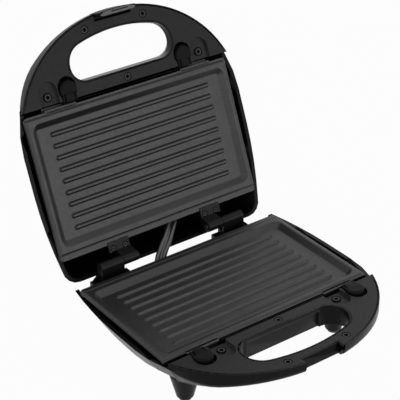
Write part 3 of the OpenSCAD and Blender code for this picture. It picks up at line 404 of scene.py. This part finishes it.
def make_button(node, place, x0):
    """Bullet-shaped domed head, a grooved stem, guides below and a nose under the plate's tongue."""
    bm = bmesh.new()
    r, foot = BUTTON_R - 0.15, BUTTON_Y + 3.6
    turns = [math.pi * k / 24 for k in range(25)]
    outline = [(r * math.cos(a), BUTTON_Y - r * math.sin(a)) for a in turns]
    outline += [(-r, BUTTON_Y + 2.0), (-r + 0.5, foot - 0.4), (-r + 1.2, foot)]
    outline += [(-4, foot), (0, foot), (4, foot)]
    outline += [(r - 1.2, foot), (r - 0.5, foot - 0.4), (r, BUTTON_Y + 2.0)]
    centre = (0.0, BUTTON_Y - 1.5)
    rings = []
    for f, d in HEAD_PROFILE:
        rings.append([bm.verts.new((centre[0] + (x - centre[0]) * f, centre[1] + (y - centre[1]) * f, d))
                      for x, y in outline])
    n = len(outline)
    for a, b in zip(rings, rings[1:]):
        for k in range(n):
            bm.faces.new((a[k], b[k], b[(k + 1) % n], a[(k + 1) % n]))
    bm.faces.new(rings[-1])
    bm.faces.new(rings[0])
    below = [(r * math.cos(2 * math.pi * k / 48), BUTTON_Y + r * math.sin(2 * math.pi * k / 48))
             for k in range(48)]
    low = [[bm.verts.new((x, y, d)) for x, y in below] for d in (-SINK, SKIRT_DEPTH)]
    for k in range(48):
        bm.faces.new((low[0][k], low[1][k], low[1][(k + 1) % 48], low[0][(k + 1) % 48]))
    bm.faces.new(low[1])
    bm.faces.new(low[0])
    w = GROOVED_W
    half = [(w, -SINK), (w, -1.1), (w - 0.4, -1.5), (w - 1.5, -1.6), (w - 1.7, -0.3), (w - 2.5, -0.3),
            (w - 2.7, -1.8), (w - 3.4, -2.0)]
    across = half + [(-x, d) for x, d in reversed(half)]
    rows = []
    for y, drop in ((foot - 1.0, 0.0), (STEM_Y - 0.8, 0.0), (STEM_Y - 0.25, 0.25), (STEM_Y, 0.8)):
        rows.append([bm.verts.new((x, y, min(-SINK, d + drop))) for x, d in across])
    for a, b in zip(rows, rows[1:]):
        for k in range(len(a)):
            m = (k + 1) % len(a)
            bm.faces.new((a[k], b[k], b[m], a[m]))
    bm.faces.new(rows[0])
    bm.faces.new(rows[-1])
    w = STEM_W / 2
    stem = ((-w, BUTTON_Y, -0.2), (w, STEM_Y, 2.9))
    guides = ((-w - 1, BUTTON_Y - BUTTON_R, SKIRT_DEPTH), (w + 1, STEM_Y, 4.3))
    nose = ((-w, NOSE_Y - 3.5, 4.0), (w, NOSE_Y, 5.9))
    for lo, hi in (stem, guides, nose):
        made = bmesh.ops.create_cube(bm, size=1)["verts"]
        for v in made:
            v.co = Vector([(a + b) / 2 + c * (b - a) for a, b, c in zip(lo, hi, v.co)])
        edges = {e for v in made for e in v.link_edges}
        bmesh.ops.bevel(bm, geom=list(edges), offset=0.3, segments=2, affect="EDGES", profile=0.5)
    for v in bm.verts:
        v.co = place(v.co + Vector((x0, 0, 0)))
    bmesh.ops.recalc_face_normals(bm, faces=bm.faces)
    obj = new_piece(node + "_finished", bm, "button", 38)
    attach(obj, node)
    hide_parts(node)


for side, sign in (("left", -1), ("right", 1)):
    make_button("base_button_" + side, in_base, sign * BASE_BUTTON_X)
    make_button("lid_button_" + side, in_lid, sign * LID_BUTTON_X)


# ---------------------------------------------------------------- screw heads

def make_screw_shade(name, body, place, screws):
    """Painted shade on each screw head: a dark ring over the head's edge and the gap round it, and a dark
    cross sheet for the slot. Each screw: x, y, depth of its face, radius.
    """
    bm = bmesh.new()
    for x, y, d, r in screws:
        rings = []
        for q, lift in ((r - 0.75, 0.0), (r - 0.6, -0.05), (r + 0.3, -0.05), (r + 0.35, 0.0)):
            turns = [math.pi * k / 18 for k in range(36)]
            rings.append([bm.verts.new((x + q * math.cos(a), y + q * math.sin(a), d + lift)) for a in turns])
        for a, b in zip(rings, rings[1:]):
            for k in range(36):
                bm.faces.new((a[k], b[k], b[(k + 1) % 36], a[(k + 1) % 36]))
        arm, half = r * 0.5, r * 0.17
        cross = []
        for q in range(4):
            c, t = math.cos(math.pi * q / 2 + 0.5), math.sin(math.pi * q / 2 + 0.5)
            for u, v in ((half, -half), (arm, -half), (arm, half)):
                cross.append(bm.verts.new((x + u * c - v * t, y + u * t + v * c, d - 0.03)))
        bm.faces.new(cross)
    for v in bm.verts:
        v.co = place(v.co)
    bmesh.ops.recalc_face_normals(bm, faces=bm.faces)
    marks = new_piece(name, bm, "recess")
    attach(marks, body)


HEAD_R, TAB_HEAD_R = 3.8, 2.8
RECESS_SCREW_Y, RECESS_SCREW_DEPTH = -78.2, 2.8
FRONT_SCREWS = [(x, y, 0.2, HEAD_R) for x, y in ((-31.3, -127), (31.3, -127), (0, -75.8))]
TAB_SCREWS = [(s * x, y, 0.1, TAB_HEAD_R) for s in (-1, 1) for x, y in ((58, 70.7), (45.1, 70.8))]


def recess_screws(x):
    """The pair of cover screws in the recesses beside the buttons."""
    return [(s * x, RECESS_SCREW_Y, RECESS_SCREW_DEPTH, HEAD_R) for s in (-1, 1)]


make_screw_shade("base_screw_painted_shade", "base", in_base, FRONT_SCREWS + recess_screws(LID_BUTTON_X))
make_screw_shade("lid_screw_painted_shade", "lid", in_lid, FRONT_SCREWS + recess_screws(BASE_BUTTON_X) + TAB_SCREWS)


# ---------------------------------------------------------------- latch

# Front outline of the halves, as in the CAD
ARCH_BACK, ARCH_LEN, ARCH_HALF_W, ARCH_POWER = 32.2, 107.6, 118.7, 2.06
CAP_HALF_W, CAP_LOW_Y, CAP_TOP, CAP_BOTTOM = 18.5, -135.0, -12.35, -11.9
SLOT_Y, SLOT_FROM, SLOT_TO, SLOT_HALF_W = -137.3, -7.0, 11.0, 0.5


def make_latch_cap():
    """Pad on the latch's end, with a long slot, in a lighter copy of the latch's black: painted light on its
    end face.
    """
    bm = bmesh.new()

    def column(x):
        low = CAP_LOW_Y - 0.9 * max(0, (abs(x) - 15) / 3.5) ** 2
        arch = -ARCH_BACK - ARCH_LEN * (1 - (abs(x) / ARCH_HALF_W) ** ARCH_POWER) ** (1 / ARCH_POWER)
        high = min(low - 0.2, arch + 0.75 + 1.6 * max(0, (abs(x) - 13) / 5.5) ** 2)
        inside = min(SLOT_HALF_W, max(0.0, min(x - SLOT_FROM, SLOT_TO - x)))
        w = math.sqrt(SLOT_HALF_W ** 2 - (SLOT_HALF_W - inside) ** 2)
        return low, SLOT_Y + w, SLOT_Y - w, high

    steps = [-CAP_HALF_W + 2 * CAP_HALF_W * k / 74 for k in range(75)]
    xs = sorted(set(steps + [SLOT_FROM, SLOT_FROM + 0.25, SLOT_TO - 0.25, SLOT_TO]))
    cols = [column(x) for x in xs]
    for i in range(len(xs) - 1):
        for lo, hi in ((0, 1), (2, 3)):
            quad = [(xs[i], cols[i][lo]), (xs[i + 1], cols[i + 1][lo]), (xs[i + 1], cols[i + 1][hi]),
                    (xs[i], cols[i][hi])]
            bm.faces.new([bm.verts.new((x, y, CAP_TOP)) for x, y in quad])
    bmesh.ops.remove_doubles(bm, verts=bm.verts, dist=0.01)
    faces = bm.faces[:]
    made = bmesh.ops.extrude_face_region(bm, geom=faces)["geom"]
    for v in made:
        if isinstance(v, bmesh.types.BMVert):
            v.co.z = CAP_BOTTOM
    bmesh.ops.dissolve_degenerate(bm, edges=bm.edges, dist=0.01)
    for v in bm.verts:
        v.co = in_lid(v.co)
    bmesh.ops.recalc_face_normals(bm, faces=bm.faces)
    cap = new_piece("latch_cap", bm, "latch_lit_pad", 30)
    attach(cap, "latch")


make_latch_cap()


# ---------------------------------------------------------------- lead between the halves

# Points of the lead in millimetres: x, y behind the hinge's axis, height over the plane between the halves
LEAD_ROUTE = [
    (-20, -16, -25), (-18.5, -9, -22), (-17, -4, -18.8), (-14.4, 0.0, -14.6), (-10, 3.2, -9.8),
    (-4.6, 6.6, -5.2), (1.2, 10.3, -1.4), (6.5, 14.7, 2.2), (11.5, 19, 5.6), (16.4, 24, 9), (20, 29, 12.3)
]
CORE_R, CORE_X, CORE_WRAP = 2.35, 2.75, 0.84
FLAT_SIDE = (-0.35, -0.7, -0.55)


def make_lead():
    """Flat twin lead: two round cores with a web between them."""
    outline = []
    for k in range(-7, 8):
        a = math.pi * k / 7 * CORE_WRAP
        outline.append((CORE_X + CORE_R * math.cos(a), CORE_R * math.sin(a)))
    outline += [(-x, -y) for x, y in outline]
    points = [Vector((x, HINGE_Y + y, -z)) for x, y, z in LEAD_ROUTE]
    fine = []
    for i in range(len(points) - 1):
        p0, p1 = points[max(0, i - 1)], points[i]
        p2, p3 = points[i + 1], points[min(len(points) - 1, i + 2)]
        for k in range(5):
            t = k / 5
            fine.append(0.5 * (2 * p1 + (p2 - p0) * t + (2 * p0 - 5 * p1 + 4 * p2 - p3) * t * t
                               + (3 * p1 - p0 - 3 * p2 + p3) * t ** 3))
    fine.append(points[-1])
    bm = bmesh.new()
    rings = []
    for i, p in enumerate(fine):
        along = (fine[min(len(fine) - 1, i + 1)] - fine[max(0, i - 1)]).normalized()
        side = along.cross(Vector(FLAT_SIDE)).normalized()
        up = side.cross(along)
        rings.append([bm.verts.new(in_base(p + side * u + up * v)) for u, v in outline])
    n = len(outline)
    for a, b in zip(rings, rings[1:]):
        for k in range(n):
            bm.faces.new((a[k], b[k], b[(k + 1) % n], a[(k + 1) % n]))
    bm.faces.new(rings[0])
    bm.faces.new(rings[-1])
    bmesh.ops.recalc_face_normals(bm, faces=bm.faces)
    lead = new_piece("twin_lead", bm, "lead", 50)
    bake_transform(lead)
    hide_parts("link_lead")


make_lead()


# ---------------------------------------------------------------- cooking plates

PLATE_W, PLATE_D, PLATE_X = 110.0, 66.3, -1.6
RECESS_X, RECESS_FRONT, RECESS_REAR, RECESS_R = 104.4, -58.7, 55.0, 8.0
RECESS_DEPTH, WALL_RUN = 4.6, 5.3
RIDGE_MID = (RECESS_FRONT + RECESS_REAR) / 2 - 0.3
RIDGES = [RIDGE_MID + (i - 4) * 10.84 for i in range(9)]
RIDGE_L, RIDGE_H, RIDGE_W, RIDGE_TOP = 87.0, 2.2, 2.3, 1.0
STEP_FRONT, STEP_REAR, STEP_H = -63.6, 60.7, 0.8


def recess_edge(x, y):
    """Distance inside the rim of the recess."""
    mid, half = (RECESS_FRONT + RECESS_REAR) / 2, (RECESS_REAR - RECESS_FRONT) / 2
    qx, qy = abs(x) - (RECESS_X - RECESS_R), abs(y - mid) - (half - RECESS_R)
    out = math.hypot(max(qx, 0), max(qy, 0)) + min(max(qx, qy), 0) - RECESS_R
    return -out


def eased(t, ramp, k):
    """Ramp from 0 to 1 over the width ramp, with both its edges rounded by k."""
    u = min(1, max(0, (t + k / 2) / (ramp + k)))
    e = k / (ramp + k)
    if u < e:
        return u * u / (2 * e) / (1 - e)
    if u > 1 - e:
        return 1 - (1 - u) ** 2 / (2 * e) / (1 - e)
    return (u - e / 2) / (1 - e)


def plate_depth(x, y):
    """Depth of the plate's top surface, x from the plate's middle."""
    d = 0.0
    edge = abs(x) - (PLATE_W - 3.6)
    if edge > 0:
        d = 3.6 - math.sqrt(max(0, 3.6 ** 2 - min(edge, 3.6) ** 2))
    for line, side in ((STEP_FRONT, 1), (STEP_REAR, -1)):
        t = (line - y) * side
        d += STEP_H * eased(t + 0.3, 0.6, 0.3)
        if abs(t) < 1.0:
            d += 0.7 * (1 - abs(t)) ** 0.7
    t = recess_edge(x, y)
    pan = RECESS_DEPTH * eased(t, WALL_RUN, 1.6)
    if t > 5:
        for ry in RIDGES:
            if abs(y - ry) < 5:
                r = math.hypot(max(0, abs(x) - RIDGE_L + RIDGE_W), y - ry)
                pan -= RIDGE_H * eased(RIDGE_W - r, RIDGE_W - RIDGE_TOP, 0.5)
    return d + pan


def spaced(a, b, step):
    """Even steps of about the given width from a, short of b."""
    n = max(1, round((b - a) / step))
    return [a + (b - a) * i / n for i in range(n)]


def plate_lines():
    """Places of the grid's lines, close together where the surface bends."""
    xs = []
    for a, b, step in ((0, 83.5, 7), (83.5, 88, 0.35), (88, 95.5, 1.25), (95.5, 105.5, 0.4),
                       (105.5, 106.4, 0.9), (106.4, PLATE_W, 0.4)):
        xs += spaced(a, b, step)
    xs = sorted(set(xs + [PLATE_W] + [-v for v in xs + [PLATE_W]]))
    ys = spaced(-PLATE_D, -64.9, 0.4) + spaced(-64.9, -62.3, 0.2) + spaced(-62.3, -60.2, 0.7)
    ys += spaced(-60.2, RIDGES[0] - 3, 0.45)
    for i, ry in enumerate(RIDGES):
        ys += [ry - 3 + 0.3 * k for k in range(21)]
        if i < 8:
            ys += [ry + 4.5, ry + 6.2]
    ys += spaced(RIDGES[-1] + 3.6, 48, 0.9) + spaced(48, 57, 0.4) + spaced(57, 59.4, 0.8)
    ys += spaced(59.4, 62.0, 0.2) + spaced(62.0, PLATE_D, 0.4) + [PLATE_D]
    return xs, sorted(ys)


def round_corner(x, y, r=3.0):
    """Pulls a grid point near a corner of the plate onto a rounded corner."""
    dx, dy = abs(x) - (PLATE_W - r), abs(y) - (PLATE_D - r)
    if dx > 0 and dy > 0:
        k = max(dx, dy) / math.hypot(dx, dy)
        x = math.copysign(PLATE_W - r + dx * k, x)
        y = math.copysign(PLATE_D - r + dy * k, y)
    return x, y


# Levels of the plate's skirt: depth, inset at the sides, inset at front and rear
SKIRT = ((6.5, 2.6, 0.0), (8.4, 5.2, 0.1), (8.9, 6.0, 0.6), (9.0, 7.0, 1.4), (9.0, 9.0, 3.0),
         (10.5, 10.5, 5.0), (12.0, 14.0, 9.0))
TONGUE_X, TONGUE_W = 73.5, 33
# Front, rear, upper and lower face of each tongue, in the plate's frame
TONGUES = ((-68.2, -64, 0.8, 3.3), (-69.9, -64, 6.2, 9.0))


def make_plate(name, node, body, place):
    """Ribbed plate with its turned-down skirt, and the tongues that the release buttons hold."""
    xs, ys = plate_lines()
    bm = bmesh.new()
    grid = []
    for y in ys:
        row = []
        for x in xs:
            px, py = round_corner(x, y)
            row.append(bm.verts.new(place((px + PLATE_X, py, plate_depth(px, py)))))
        grid.append(row)
    nx, ny = len(xs), len(ys)
    for j in range(ny - 1):
        for i in range(nx - 1):
            bm.faces.new((grid[j][i], grid[j][i + 1], grid[j + 1][i + 1], grid[j + 1][i]))
    rim = [(i, 0) for i in range(nx)] + [(nx - 1, j) for j in range(1, ny)]
    rim += [(i, ny - 1) for i in range(nx - 2, -1, -1)] + [(0, j) for j in range(ny - 2, 0, -1)]
    ring = [grid[j][i] for i, j in rim]
    skirt = []
    plan = [round_corner(xs[i], ys[j]) for i, j in rim]
    for d, in_x, in_y in SKIRT:
        nxt = []
        for x, y in plan:
            kx, ky = (PLATE_W - in_x) / PLATE_W, (PLATE_D - in_y) / PLATE_D
            nxt.append(bm.verts.new(place((x * kx + PLATE_X, y * ky, d))))
        for k in range(len(ring)):
            m = (k + 1) % len(ring)
            skirt.append(bm.faces.new((ring[k], nxt[k], nxt[m], ring[m])))
        ring = nxt
    skirt.append(bm.faces.new(ring))
    # The skirt and front faces take the darker copy of the coating: painted shade.
    for f in skirt:
        f.material_index = 1
    bmesh.ops.remove_doubles(bm, verts=bm.verts, dist=0.01 * MM)
    bmesh.ops.dissolve_degenerate(bm, edges=bm.edges, dist=0.005 * MM)
    bmesh.ops.recalc_face_normals(bm, faces=bm.faces)
    obj = new_piece(name, bm, "plate", 50)
    obj.data.materials.append(M["skirt_shade"])
    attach(obj, body)
    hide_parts(node)
    for side in (-1, 1):
        bm = bmesh.new()
        for y0, y1, d0, d1 in TONGUES:
            made = bmesh.ops.create_cube(bm, size=1)["verts"]
            for v in made:
                x = side * TONGUE_X + v.co.x * TONGUE_W
                v.co = Vector((x, (y0 + y1) / 2 + v.co.y * (y1 - y0), (d0 + d1) / 2 + v.co.z * (d1 - d0)))
        bmesh.ops.bevel(bm, geom=bm.edges, offset=0.6, segments=3, affect="EDGES", profile=0.5)
        for v in bm.verts:
            v.co = place(v.co)
        bmesh.ops.recalc_face_normals(bm, faces=bm.faces)
        tongue = new_piece(f"{name}_tongue_{'left' if side < 0 else 'right'}", bm, "plate")
        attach(tongue, body)


make_plate("base_griddle", "base_plate", "base", in_base)
make_plate("lid_griddle", "lid_plate", "lid", in_lid)


# ---------------------------------------------------------------- end

bpy.context.scene.view_settings.view_transform = "Standard"
